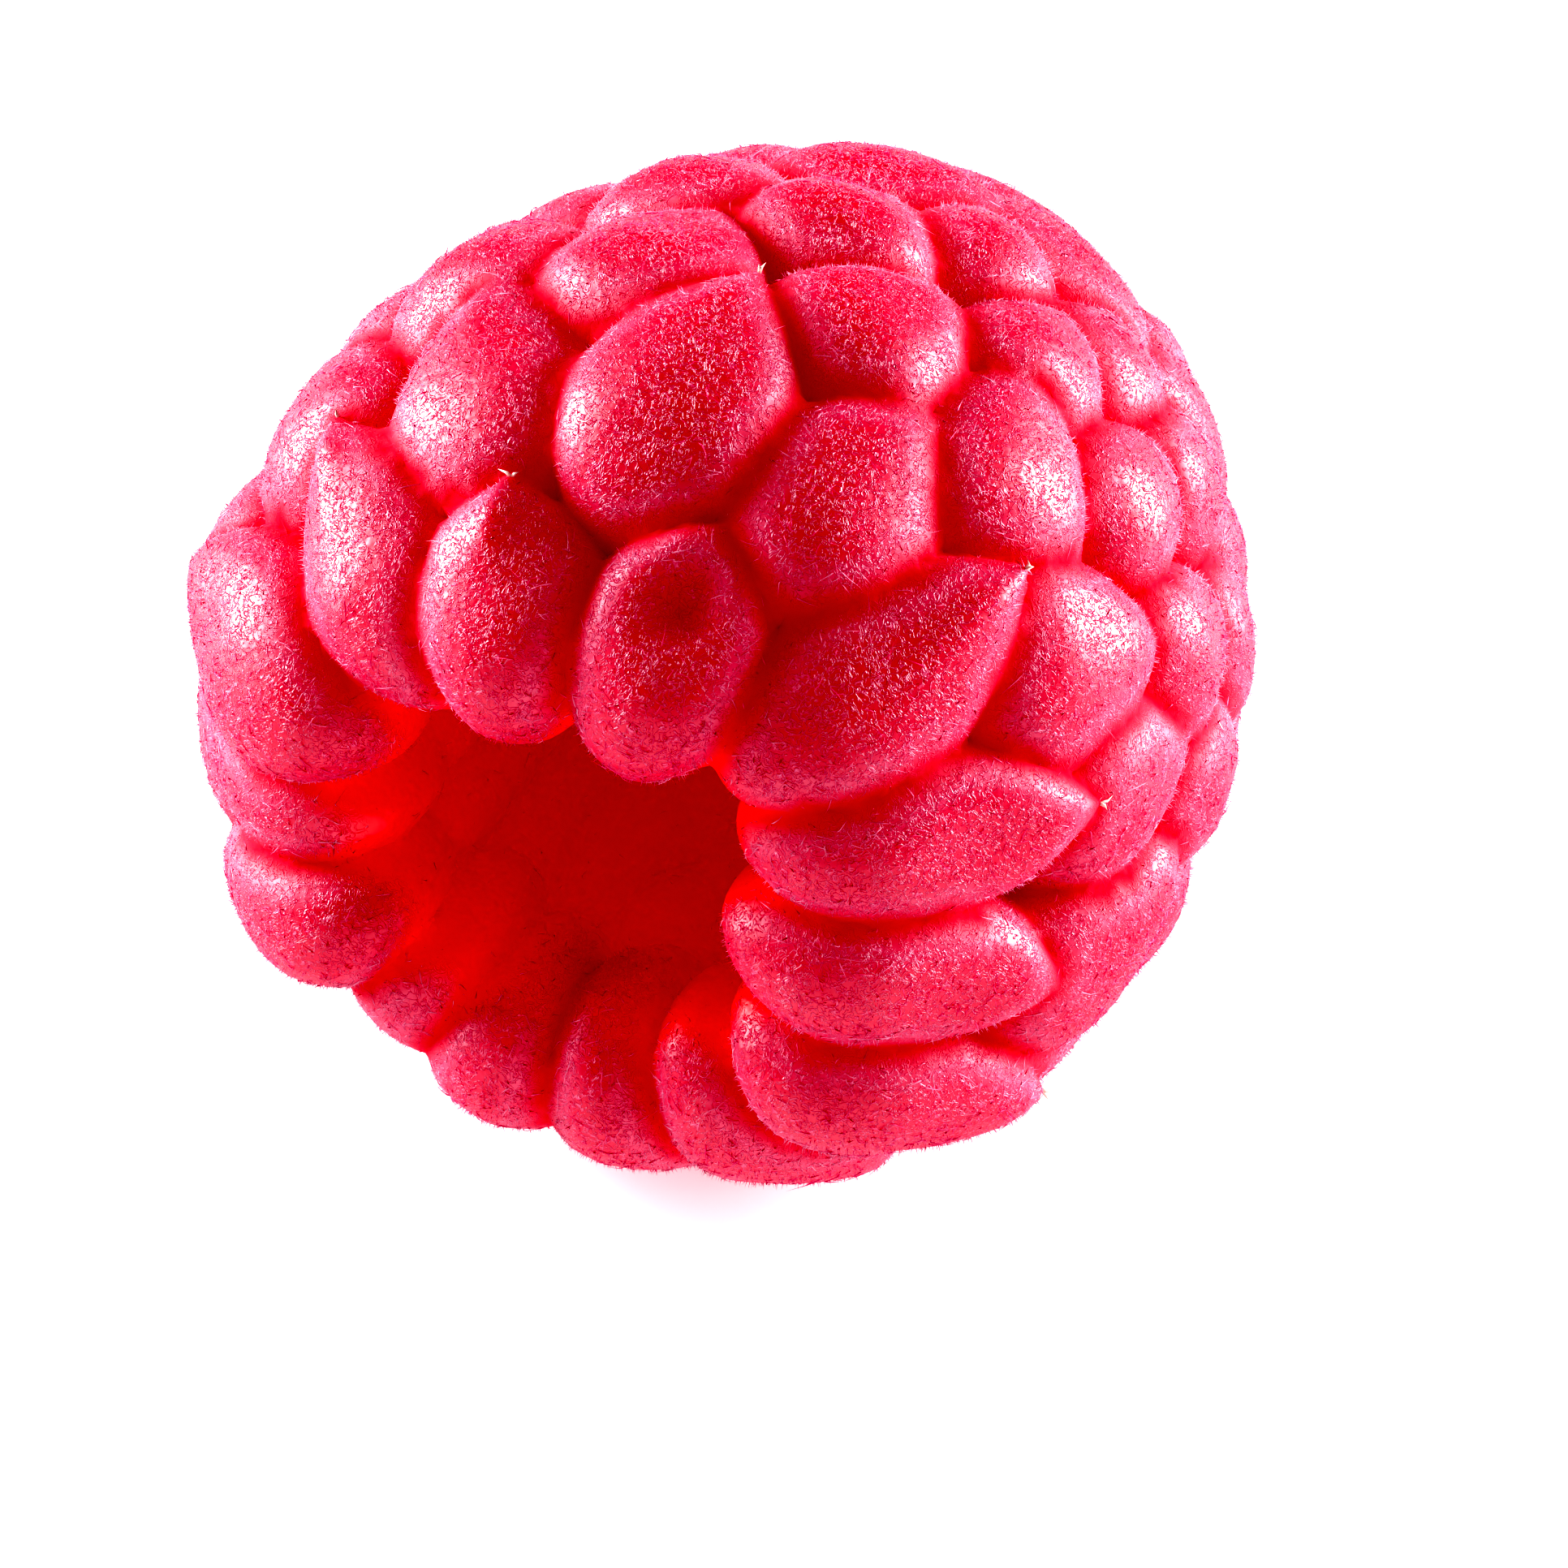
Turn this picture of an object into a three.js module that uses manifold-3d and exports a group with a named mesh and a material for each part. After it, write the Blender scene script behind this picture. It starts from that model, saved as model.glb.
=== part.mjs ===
// Raspberry picked off its stalk: a hollow cup of juicy beads, lying on its side.
// Millimetres, +Z up. The open mouth faces -Y and the rounded nose faces +Y.
//
// A place on the body is given by two angles about the berry's heart: polar, from the
// middle of the mouth (0) to the nose (180), and round, about the long axis, from the
// top (0) towards +X (90).
import * as THREE from 'three';
import { mergeVertices } from 'three/addons/utils/BufferGeometryUtils.js';
import Module from 'manifold-3d';

// Body that the tops of the beads follow
const BODY_RADIUS = 9.45;
const NOSE_GROWTH = 2.55;        // how much farther the nose reaches
const NOSE_POWER = 4;
const MOUTH_FALL = 0.45;         // how much the body draws in towards the mouth
const BODY_LOBES = [             // broad swells and hollows: polar, round, height, spread
  [105, 322, -0.5, 30],
  [50, 265, 0.6, 28],
  [140, 15, -0.25, 26],
  [90, 180, -0.8, 24],
];
const UNDERSIDE_CUT = 0.38;      // depth of the flats pressed where it lies

// Form of one bead
const RIM_DEPTH = { out: 1.95, in: 2.1, tipLift: 1.0 };
const BODY_DEPTH = { out: 2.15, in: 2.5, tipLift: 0.75 };
const NOSE_THINNING = 0.6;       // how much shallower beads are rooted at the nose
const BEAD_WIDTH_RANGE = [1.6, 2.35];
const BEAD_OVERLAP = 1.08;       // neighbours press into each other
const TIP_PINCH = 0.27;          // how far a bead narrows to its tip
const TIP_THINNING = 0.12;
const BEAD_FULLNESS = 0.1;       // how square-shouldered its middle is
const RIDGE_SPREAD = 0.16;
const DISH_SPREAD = 0.34;
const DISH_PLACE = 0.35;
const DISH_REACH = 0.38;
const WEDGE_HEART = 1.5;         // beads narrow towards a line this far past the axis
const BEAD_SIDES = 12;
const BEAD_LEVELS = 7;

// Flesh under the beads, from the nose round to the mouth and back up the hollow
// that the stalk left: radius, distance along the axis
const CORE_OUTSIDE = [
  [0, 8.7], [1.7, 8.3], [3.5, 7.2], [5.1, 5.4], [6.25, 3.0],
  [6.75, 0.4], [6.55, -2.2], [5.9, -4.4], [5.2, -5.9],
];
const CORE_HOLLOW = [
  [4.75, -6.1], [4.45, -5.0], [4.3, -3.6], [4.15, -1.6], [3.9, 0.6],
  [3.5, 2.8], [2.9, 4.6], [2.1, 6.0], [1.15, 6.9], [0, 7.2],
];
const CORE_SIDES = 56;
const RIB_HEIGHT = 0.3;          // low ribs along the hollow, one behind each rim bead
const RIB_HALF_TURN = 12.5;
const RIB_END = 5;
const RIB_FADE = 8;

// Beads that have their own place and shape, ring by ring. Each bead is
// [round, polar, half turn it spans, length to its tip, length towards the mouth,
//  twist of its tip, how proud it stands, crest].
// A positive crest is a ridge running to the tip, a negative one a shallow dish.
const RIM_BEADS = [
  [17, 43.5, 15.6, 2.2, 2.55, -4, 0.15, -0.45],
  [46, 54, 13.5, 3.2, 2.9, 4, 0.15, 0],
  [70, 49, 13, 3.3, 2.8, 17, 0.1, -0.25],
  [95, 44, 14, 3.1, 2.8, 12, 0.2, -0.2],
  [122, 49, 13.5, 3.1, 2.8, -2, 0.65, 0],
  [147, 49, 13.5, 3.0, 2.8, 0, 0.35, 0.1],
  [173, 48, 13, 2.9, 2.8, 0, 0.2, 0.1],
  [198, 48, 12.5, 2.8, 2.7, 4, 0.15, 0.1],
  [219, 50, 11, 2.7, 2.5, 0, -0.3, 0],
  [242, 49, 12.5, 2.9, 2.8, 0, 0.25, 0.1],
  [264, 51, 11.5, 2.7, 2.5, 0, -0.4, 0],
  [290, 50, 14, 3.0, 2.9, -15, 0.3, 0.1],
  [319, 50, 13, 2.8, 2.6, -12, 0.1, 0.25],
  [345, 43.5, 15, 1.9, 2.5, 2, 0.15, 0.35],
];
const SHOULDER_BEADS = [
  [3, 71.5, 13, 2.9, 2.9, 0, 0.2, 0.15],
  [27, 68, 12.5, 2.7, 2.7, 2, 0.1, 0],
  [40, 85.5, 10.8, 2.5, 2.4, -22, 0.1, 0],
  [61, 75.5, 12, 2.5, 2.4, 26, 0.1, 0.1],
  [80, 77, 10.8, 2.4, 2.3, 6, 0, 0],
  [104, 72, 12.5, 2.7, 2.7, -38, 0.2, 0.1],
  [305, 75, 12, 2.6, 2.5, -5, 0, 0.15],
  [335, 70, 12.5, 2.9, 2.8, -12, 0.05, 0.15],
];
const MIDDLE_BEADS = [
  [19, 91, 11.5, 2.3, 2.1, 22, 0.1, -0.15],
  [36, 105, 10, 2.2, 2.1, 0, 0.1, 0],
  [55, 101, 10, 2.2, 2.2, 8, 0, 0],
  [74, 97, 10, 2.2, 2.2, 10, 0, 0],
  [92, 96, 9.8, 2.2, 2.2, 0, 0, 0.1],
  [325, 93, 12, 2.4, 2.3, -10, 0.2, 0.1],
  [349, 92, 12.5, 2.4, 2.3, 8, 0.1, -0.15],
];
const BACK_BEADS = [
  [7, 112, 11.5, 2.2, 2.1, 12, 0.15, -0.15],
  [23, 123, 11, 2.2, 2.1, 0, 0.1, 0],
  [46, 121, 11.5, 2.2, 2.2, 0, 0, 0],
  [63, 118, 11, 2.2, 2.1, 0, 0, 0],
  [85, 113, 11.5, 2.2, 2.1, 0, 0, 0],
  [343, 116, 13, 2.3, 2.2, 0, 0.1, 0],
];
// The rest of each ring is spread evenly, with a little natural scatter.
const EVEN_RINGS = [
  { first: 128, count: 7, step: 25, polar: 73, half: 13.3, long: 2.5 },
  { first: 115, count: 9, step: 23.4, polar: 96, half: 12.3, long: 2.45 },
  { first: 111, count: 9, step: 25.8, polar: 118, half: 14, long: 2.45 },
  { first: 3, count: 11, step: 32.7, polar: 137.5, half: 18.5, long: 2.45 },
  { first: 22, count: 6, step: 60, polar: 158, half: 36, long: 2.45 },
  { first: 0, count: 1, step: 0, polar: 179, half: 90, long: 1.7 },
];
const SCATTER = { round: 2.2, polar: 2, size: 0.06, twist: 12, proud: 0.12, crest: 0.22 };

const radians = (degrees) => degrees * Math.PI / 180;

// A repeatable spread of values between -1 and 1.
function scatter(index, lane) {
  const value = index * 0.6180339887 + lane * 0.7548776662;
  return 2 * (value - Math.floor(value)) - 1;
}

function bodyPoint(polar, round) {
  const a = radians(polar);
  const p = radians(round);
  const forward = -Math.cos(a);
  let radius = BODY_RADIUS;
  radius += NOSE_GROWTH * Math.max(forward, 0) ** NOSE_POWER;
  radius -= MOUTH_FALL * Math.max(-forward, 0) ** 2;
  for (const [lobePolar, lobeRound, height, spread] of BODY_LOBES) {
    const b = radians(lobePolar);
    const sidePart = Math.sin(a) * Math.sin(b) * Math.cos(p - radians(lobeRound));
    const closeness = Math.min(1, Math.max(-1, sidePart + Math.cos(a) * Math.cos(b)));
    const apart = Math.acos(closeness) / radians(spread);
    radius += height * Math.exp(-apart * apart / 2);
  }
  return new THREE.Vector3(
    radius * Math.sin(a) * Math.sin(p),
    radius * forward,
    radius * Math.sin(a) * Math.cos(p),
  );
}

// The body's surface at a place, with the ways towards the nose, round and outward.
function bodyFrame(polar, round) {
  const top = bodyPoint(polar, round);
  const noseWay = bodyPoint(polar + 0.5, round).sub(bodyPoint(polar - 0.5, round)).normalize();
  const roundWay = new THREE.Vector3(Math.cos(radians(round)), 0, -Math.sin(radians(round)));
  const outWay = new THREE.Vector3().crossVectors(roundWay, noseWay).normalize();
  roundWay.crossVectors(noseWay, outWay).normalize();
  return { top, noseWay, roundWay, outWay };
}

// Leaves only positions, joins the points that meet, and drops faces of no width.
function closedGeometry(geometry) {
  geometry.deleteAttribute('normal');
  geometry.deleteAttribute('uv');
  const joined = mergeVertices(geometry, 1e-5);
  const corners = joined.getIndex().array;
  const kept = [];
  for (let i = 0; i < corners.length; i += 3) {
    const [a, b, c] = [corners[i], corners[i + 1], corners[i + 2]];
    if (a !== b && b !== c && c !== a) kept.push(a, b, c);
  }
  joined.setIndex(kept);
  return joined;
}

function crestHeight(along, side, crest) {
  const tip = Math.max(along, 0);
  if (crest > 0) return crest * tip * (1.6 - tip) * Math.exp(-((side / RIDGE_SPREAD) ** 2));
  const reach = Math.exp(-(((along - DISH_PLACE) / DISH_REACH) ** 2));
  return crest * reach * Math.exp(-((side / DISH_SPREAD) ** 2));
}

// One bead: a ball drawn out into a drop, plump towards the mouth and pinched at its tip.
function beadGeometry(bead, depth) {
  const [round, polar, half, toTip, toMouth, twist, proud, crest] = bead;
  const { top, noseWay, roundWay, outWay } = bodyFrame(polar, round);
  const ringRadius = Math.hypot(top.x, top.z);
  const halfWidth = THREE.MathUtils.clamp(
    radians(half) * ringRadius * BEAD_OVERLAP,
    ...BEAD_WIDTH_RANGE,
  );
  const depthIn = depth.in - NOSE_THINNING * Math.max(0, (polar - 120) / 60);
  const tipWay = noseWay.clone().multiplyScalar(Math.cos(radians(twist)))
    .addScaledVector(roundWay, Math.sin(radians(twist)));
  const sideWay = new THREE.Vector3().crossVectors(outWay, tipWay).normalize();
  const seat = top.clone().addScaledVector(outWay, proud - depth.out);
  const seatRadius = Math.hypot(seat.x, seat.z) + WEDGE_HEART;

  const ball = new THREE.SphereGeometry(1, BEAD_SIDES, BEAD_LEVELS);
  ball.rotateZ(-Math.PI / 2);
  const drop = closedGeometry(ball);
  const place = drop.getAttribute('position');
  const point = new THREE.Vector3();
  for (let i = 0; i < place.count; i += 1) {
    const along = place.getX(i);
    const girth = Math.hypot(place.getY(i), place.getZ(i)) || 1e-9;
    const side = place.getY(i) / girth;
    const up = place.getZ(i) / girth;
    const squareness = 2 + BEAD_FULLNESS * Math.min(1, 1.2 + along);
    const plump = (Math.abs(side) ** squareness + Math.abs(up) ** squareness)
      ** (-1 / squareness);
    const pinch = Math.max(1 - along, 0) ** TIP_PINCH;
    const thinning = Math.max(1 - along, 0) ** TIP_THINNING;
    const out = up * girth * plump * thinning * (up > 0 ? depth.out : depthIn)
      + depth.tipLift * Math.max(along, 0) ** 2
      + Math.max(up, 0) * crestHeight(along, side * girth, crest);
    point.copy(seat)
      .addScaledVector(tipWay, along * (along > 0 ? toTip : toMouth))
      .addScaledVector(outWay, out);
    const wedge = (Math.hypot(point.x, point.z) + WEDGE_HEART) / seatRadius;
    point.addScaledVector(sideWay, side * girth * plump * pinch * halfWidth * wedge);
    place.setXYZ(i, point.x, point.y, point.z);
  }
  return drop;
}

// The cup of flesh that carries the beads, with low ribs along its hollow.
function coreGeometry() {
  const outline = [...CORE_OUTSIDE, ...CORE_HOLLOW].reverse();
  const points = outline.map(([radius, along]) => new THREE.Vector2(radius, along));
  const cup = closedGeometry(new THREE.LatheGeometry(points, CORE_SIDES));
  const place = cup.getAttribute('position');
  for (let i = 0; i < place.count; i += 1) {
    const [x, along, z] = [place.getX(i), place.getY(i), place.getZ(i)];
    const radius = Math.hypot(x, z);
    const inHollow = CORE_HOLLOW.some(([r, y]) => Math.hypot(r - radius, y - along) < 1e-3);
    if (inHollow && radius > 0.1) {
      const round = THREE.MathUtils.radToDeg(Math.atan2(x, z));
      const apart = Math.min(...RIM_BEADS.map(([rimRound]) => (
        Math.abs(THREE.MathUtils.euclideanModulo(round - rimRound + 180, 360) - 180)
      )));
      const fade = THREE.MathUtils.clamp((RIB_END - along) / RIB_FADE, 0, 1);
      const rib = RIB_HEIGHT * fade * Math.max(0, 1 - (apart / RIB_HALF_TURN) ** 2);
      const shrink = (radius - rib) / radius;
      place.setXYZ(i, x * shrink, along, z * shrink);
    }
  }
  return cup;
}

function evenBeads(ring, ringIndex) {
  const beads = [];
  for (let k = 0; k < ring.count; k += 1) {
    const seed = ringIndex * 20 + k;
    const size = 1 + SCATTER.size * scatter(seed, 1);
    beads.push([
      ring.first + k * ring.step + SCATTER.round * scatter(seed, 2),
      ring.polar + SCATTER.polar * scatter(seed, 3),
      ring.half * size,
      ring.long * size,
      ring.long * size,
      SCATTER.twist * scatter(seed, 4),
      SCATTER.proud * scatter(seed, 5),
      SCATTER.crest * scatter(seed, 6),
    ]);
  }
  return beads;
}

const wasm = await Module();
wasm.setup();

function toManifold(geometry) {
  return new wasm.Manifold(new wasm.Mesh({
    numProp: 3,
    vertProperties: new Float32Array(geometry.getAttribute('position').array),
    triVerts: new Uint32Array(geometry.getIndex().array),
  }));
}

function fromManifold(solid) {
  const mesh = solid.getMesh();
  const geometry = new THREE.BufferGeometry();
  geometry.setAttribute('position', new THREE.Float32BufferAttribute(mesh.vertProperties, 3));
  geometry.setIndex(Array.from(mesh.triVerts));
  geometry.computeBoundingBox();
  return geometry;
}

function fusedBerry() {
  const bodyBeads = [
    ...SHOULDER_BEADS,
    ...MIDDLE_BEADS,
    ...BACK_BEADS,
    ...EVEN_RINGS.flatMap(evenBeads),
  ];
  let berry = toManifold(coreGeometry());
  for (const bead of RIM_BEADS) berry = berry.add(toManifold(beadGeometry(bead, RIM_DEPTH)));
  for (const bead of bodyBeads) berry = berry.add(toManifold(beadGeometry(bead, BODY_DEPTH)));
  // Gaps closed in under the beads are flesh too, so only the outer skin is kept.
  return berry.decompose().reduce((most, body) => (body.volume() > most.volume() ? body : most));
}

// Presses the underside flat where the berry lies.
function restedBerry(berry) {
  const lowest = fromManifold(berry).boundingBox.min.z;
  const table = new THREE.BoxGeometry(60, 60, 20);
  table.translate(0, 0, lowest + UNDERSIDE_CUT - 10);
  return fromManifold(berry.subtract(toManifold(closedGeometry(table))));
}

const skin = restedBerry(fusedBerry());
const { min, max } = skin.boundingBox;
skin.translate(-(min.x + max.x) / 2, -(min.y + max.y) / 2, -min.z);

const flesh = new THREE.MeshStandardMaterial({ color: 0xd8143a, roughness: 0.5, metalness: 0 });
const raspberry = new THREE.Mesh(skin, flesh);
raspberry.name = 'raspberry';

const group = new THREE.Group();
group.add(raspberry);
export default group;
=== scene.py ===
import math

import bmesh
import bpy
import numpy as np
from mathutils import Matrix, Vector, noise
from mathutils.bvhtree import BVHTree
from mathutils.kdtree import KDTree


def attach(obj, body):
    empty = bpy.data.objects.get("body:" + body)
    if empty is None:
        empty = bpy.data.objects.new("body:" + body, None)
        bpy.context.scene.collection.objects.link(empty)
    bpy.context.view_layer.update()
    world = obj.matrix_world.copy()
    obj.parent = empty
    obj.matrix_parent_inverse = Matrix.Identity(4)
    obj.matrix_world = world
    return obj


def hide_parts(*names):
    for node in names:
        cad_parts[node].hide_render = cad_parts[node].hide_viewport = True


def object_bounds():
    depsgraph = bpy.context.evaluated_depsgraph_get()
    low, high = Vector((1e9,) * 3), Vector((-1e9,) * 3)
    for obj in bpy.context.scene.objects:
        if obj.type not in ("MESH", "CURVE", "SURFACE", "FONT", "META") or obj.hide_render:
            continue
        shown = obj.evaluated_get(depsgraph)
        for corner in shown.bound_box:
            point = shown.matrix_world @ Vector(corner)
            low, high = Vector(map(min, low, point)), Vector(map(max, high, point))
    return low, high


# Raspberry picked off its stalk: a hollow cup of juicy beads covered in pale down.
# Shapes are worked in millimetres about the berry's heart, with the open mouth towards
# -Y and the nose towards +Y, and then set down in the row frame, in metres.
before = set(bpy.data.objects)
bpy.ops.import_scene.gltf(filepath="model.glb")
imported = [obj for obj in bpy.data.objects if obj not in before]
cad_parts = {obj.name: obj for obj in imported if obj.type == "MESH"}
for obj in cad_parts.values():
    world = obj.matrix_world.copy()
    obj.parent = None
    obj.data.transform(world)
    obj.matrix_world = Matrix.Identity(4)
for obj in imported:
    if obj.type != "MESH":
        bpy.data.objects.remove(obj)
cad_low, cad_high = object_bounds()

MM = 0.001
HEART = np.array([0.0138, -2.0668, 8.3662])   # the berry's heart in the row frame
SKIN_SCALE = 0.995                            # the flesh, drawn in to leave room for its down
BOX_ROOM = 0.01                               # and everything stays this far inside the box
SEED = 7

# --- Body that the tops of the beads follow
# A place on it is given by two angles: polar, from the middle of the mouth (0) to the
# nose (180), and round, about the long axis, from the top (0) towards +X (90).
BODY_RADIUS = 9.45
NOSE_GROWTH = 2.55               # how much farther the nose reaches
NOSE_POWER = 4
MOUTH_FALL = 0.45                # how much the body draws in towards the mouth
# Broad swells and hollows: polar, round, height, spread
BODY_LOBES = [(105, 322, -0.5, 30), (50, 265, 0.6, 28), (140, 15, -0.25, 26), (90, 180, -0.8, 24)]
FLOOR_GAP = 0.003                # the flats it lies on are cut this far above the floor

# --- Form of one bead
RIM_DEPTH = dict(out=1.95, inward=2.1, tip_lift=1.0)
BODY_DEPTH = dict(out=2.15, inward=2.5, tip_lift=0.75)
NOSE_THINNING = 0.6              # how much shallower beads are rooted at the nose
NOSE_BEADS_START = 120
BEAD_WIDTH_RANGE = (1.6, 2.35)
BEAD_OVERLAP = 1.08              # neighbours press into each other
TIP_PINCH = 0.27                 # how far a bead narrows to its tip
TIP_THINNING = 0.12
TIP_NIB = 0.07                   # a small nib drawn out of the tip
TIP_NIB_SHARE = 0.05
BEAD_FULLNESS = 0.1              # how square-shouldered its middle is
FULL_FROM = 1.2                  # where it turns round again towards the mouth
RIDGE_SPREAD = 0.16
RIDGE_FALL = 1.6                 # how far along a ridge would fall to nothing
DISH_SPREAD = 0.34
DISH_PLACE = 0.35
DISH_REACH = 0.38
WEDGE_HEART = 1.5                # beads narrow towards a line this far past the axis
BEAD_FINENESS = 4                # how often the ball a bead is drawn from is split
UNEVEN_HEIGHT = 0.075            # soft unevenness of the skin
UNEVEN_BROAD, UNEVEN_FINE = 0.55, 1.7
UNEVEN_FINE_SHARE = 0.45
BROAD_SHIFT, FINE_SHIFT = (7.3, 3.1, 0), (5.1, 0, 2.7)   # from one bead's pattern to the next

# --- Flesh under the beads: radius, distance along the axis
CORE_OUTSIDE = [
    (0, 8.7), (1.7, 8.3), (3.5, 7.2), (5.1, 5.4), (6.25, 3.0),
    (6.75, 0.4), (6.55, -2.2), (5.9, -4.4), (5.2, -5.9),
]
CORE_HOLLOW = [
    (4.75, -6.1), (4.45, -5.0), (4.3, -3.6), (4.15, -1.6), (3.9, 0.6),
    (3.5, 2.8), (2.9, 4.6), (2.1, 6.0), (1.15, 6.9), (0, 7.2),
]
CORE_SIDES = 224
CORE_MERGE = 1e-4
OUTSIDE_STEPS, HOLLOW_STEPS = 3, 5   # how finely the line between two points is split
RIB_HEIGHT = 0.3                 # low ribs along the hollow, one behind each rim bead
RIB_HALF_TURN = 12.5
RIB_END = 5
RIB_FADE = 8
HOLLOW_AXIS, HOLLOW_SKIN = 0.1, 0.12   # ribs touch only corners between the two
# Each rim bead runs on as a tongue along the wall of the hollow: how high each stands
TONGUE_HEIGHTS = [0.4, 0.4, 0.4, 0.4, 0.4, 0.4, 0.4, 0.3, 0.3, 0.6, 0.65, 0.75, 0.5, 0.4]
TONGUE_START = -3.3
TONGUE_LENGTHS = (2.1, 6.6)      # towards the mouth, into the hollow
TONGUE_ROOT = 0.35               # how deep a tongue is sunk in the wall
TONGUE_WIDENING = 1.05

# --- Beads with their own place and shape: round, polar, half turn, length to the tip,
# length towards the mouth, twist of the tip, how proud it stands, crest. A positive
# crest is a ridge running to the tip, a negative one a shallow dish.
RIM_BEADS = [
    (17, 43.5, 15.6, 2.2, 2.55, -4, 0.15, -0.55),
    (46, 54, 13.5, 3.2, 2.9, 4, 0.15, 0.28),
    (70, 49, 13, 3.3, 2.8, 17, 0.1, -0.25),
    (95, 44, 14, 3.1, 2.8, 12, 0.2, -0.2),
    (122, 49, 13.5, 3.1, 2.8, -2, 0.65, 0),
    (147, 49, 13.5, 3.0, 2.8, 0, 0.35, 0.1),
    (173, 48, 13, 2.9, 2.8, 0, 0.2, 0.1),
    (198, 48, 12.5, 2.8, 2.7, 4, 0.15, 0.1),
    (219, 50, 11, 2.7, 2.5, 0, -0.3, 0),
    (242, 49, 12.5, 2.9, 2.8, 0, 0.25, 0.1),
    (264, 51, 11.5, 2.7, 2.5, 0, -0.4, 0),
    (290, 50, 14, 3.0, 2.9, -15, 0.3, 0.1),
    (319, 50, 13, 2.8, 2.6, -12, 0.1, 0.25),
    (345, 43.5, 15, 1.9, 2.5, 2, 0.15, 0.35),
]
SHOULDER_BEADS = [
    (3, 71.5, 13, 2.9, 2.9, 0, 0.2, 0.15),
    (27, 68, 12.5, 2.7, 2.7, 2, 0.1, 0),
    (40, 85.5, 10.8, 2.5, 2.4, -22, 0.1, 0),
    (61, 75.5, 12, 2.5, 2.4, 26, 0.1, 0.1),
    (80, 77, 10.8, 2.4, 2.3, 6, 0, 0),
    (104, 72, 12.5, 2.7, 2.7, -38, 0.2, 0.1),
    (305, 75, 12, 2.6, 2.5, -5, 0, 0.15),
    (335, 70, 12.5, 2.9, 2.8, -12, 0.05, 0.15),
]
MIDDLE_BEADS = [
    (19, 91, 11.5, 2.3, 2.1, 22, 0.1, -0.15),
    (36, 105, 10, 2.2, 2.1, 0, 0.1, 0),
    (55, 101, 10, 2.2, 2.2, 8, 0, 0),
    (74, 97, 10, 2.2, 2.2, 10, 0, 0),
    (92, 96, 9.8, 2.2, 2.2, 0, 0, 0.1),
    (325, 93, 12, 2.4, 2.3, -10, 0.2, 0.1),
    (349, 92, 12.5, 2.4, 2.3, 8, 0.1, -0.15),
]
BACK_BEADS = [
    (7, 112, 11.5, 2.2, 2.1, 12, 0.15, -0.15),
    (23, 123, 11, 2.2, 2.1, 0, 0.1, 0),
    (46, 121, 11.5, 2.2, 2.2, 0, 0, 0),
    (63, 118, 11, 2.2, 2.1, 0, 0, 0),
    (85, 113, 11.5, 2.2, 2.1, 0, 0, 0),
    (343, 116, 13, 2.3, 2.2, 0, 0.1, 0),
]
# The rest of each ring is spread evenly, with a little natural scatter: first place
# round, count, step, polar, half turn, length
EVEN_RINGS = [
    (128, 7, 25, 73, 13.3, 2.5),
    (115, 9, 23.4, 96, 12.3, 2.45),
    (111, 9, 25.8, 118, 14, 2.45),
    (3, 11, 32.7, 137.5, 18.5, 2.45),
    (22, 6, 60, 158, 36, 2.45),
    (0, 1, 0, 179, 90, 1.7),
]
SCATTER = dict(round=2.2, polar=2, size=0.06, twist=12, proud=0.12, crest=0.22)
RING_SEEDS = 20                  # seeds kept for each ring
TONE_LANE = 9                    # the lane of scatter that the beads' tones are drawn from

# --- Seams, and the marks that the finishes and the down follow
MERGE_DISTANCE = 0.004
SEAM_ANGLE = 0.5                 # a fold sharper than this, in radians, is a seam
SEAM_SOFTENING = dict(passes=3, factor=0.4)
SEAM_REACH = 0.28                # the folds between beads, bare of down and painted a darker red as shade
RIM_PLACE, RIM_REACH = 0.50, 0.20    # the band along a bead's edge where down grows thicker and is painted pale as a sheen
HOLLOW_MARGIN, HOLLOW_BLEND = 0.75, 0.6          # across the wall of the hollow
HOLLOW_MOUTH, HOLLOW_MOUTH_BLEND = -6.95, 0.5    # along it
HOLLOW_END = 7.3
DOWNY_TONGUE = dict(round=181, half_turn=20, end=-4.3)   # down running on into the hollow
DOWNY_SHARE, DOWNY_BLEND = 0.97, 0.8

# --- Down and dry style ends
# name, hairs, cuts along each, length, thickness, lean from upright, curl
DOWN = [
    ("curled_down_1", 12000, 2, (0.15, 0.28), 0.013, (0.7, 1.45), (1.0, 1.9)),
    ("curled_down_2", 14000, 1, (0.10, 0.19), 0.014, (0.6, 1.45), (0.8, 1.7)),
    ("curled_down_3", 14000, 1, (0.10, 0.19), 0.014, (0.6, 1.45), (0.8, 1.7)),
    ("velvet", 39000, 0, (0.10, 0.22), 0.0095, (0.0, 0.6), (0, 0)),
]
HAIR_SIDES = 3
HAIR_SWELL = 1.7                 # how much a curled hair swells along its middle
HAIR_ROOT = 0.02                 # how deep it is rooted
HAIR_DROOP = 0.25                # how much its first course slackens towards the tip
HAIR_HANG = 0.35                 # how much curls turn back to the skin
HAIR_OWN_SHARE = 3.0             # how far its own round form, and not the skin's, takes the light
WIDTH_SPREAD = (0.8, 1.25)
BARE_SEAM, SEAM_GROWTH = 0.13, 0.28    # where growth starts and how soon it is full
LEAST_GROWTH = 0.03
HOLLOW_THINNING = 0.93
RIM_THICKENING = 1.2
BARE_UNDERSIDE = 0.12
STYLE_FORM = (1, (0.25, 0.45), 0.04, (0.0, 0.5), (0.1, 0.5))   # as in DOWN, from the cuts on
STYLES_PER_TIP = 2
STYLE_PLACE = (0.9998, 0, 0.02)  # on the ball that a bead is drawn from, at its tip
STYLE_ROOT = 0.03
STYLE_LIFT = 0.7                 # how much they turn outwards from the bead's own way
HIDDEN_TIP = 0.06                # tips buried deeper than this under a neighbour have none


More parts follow.
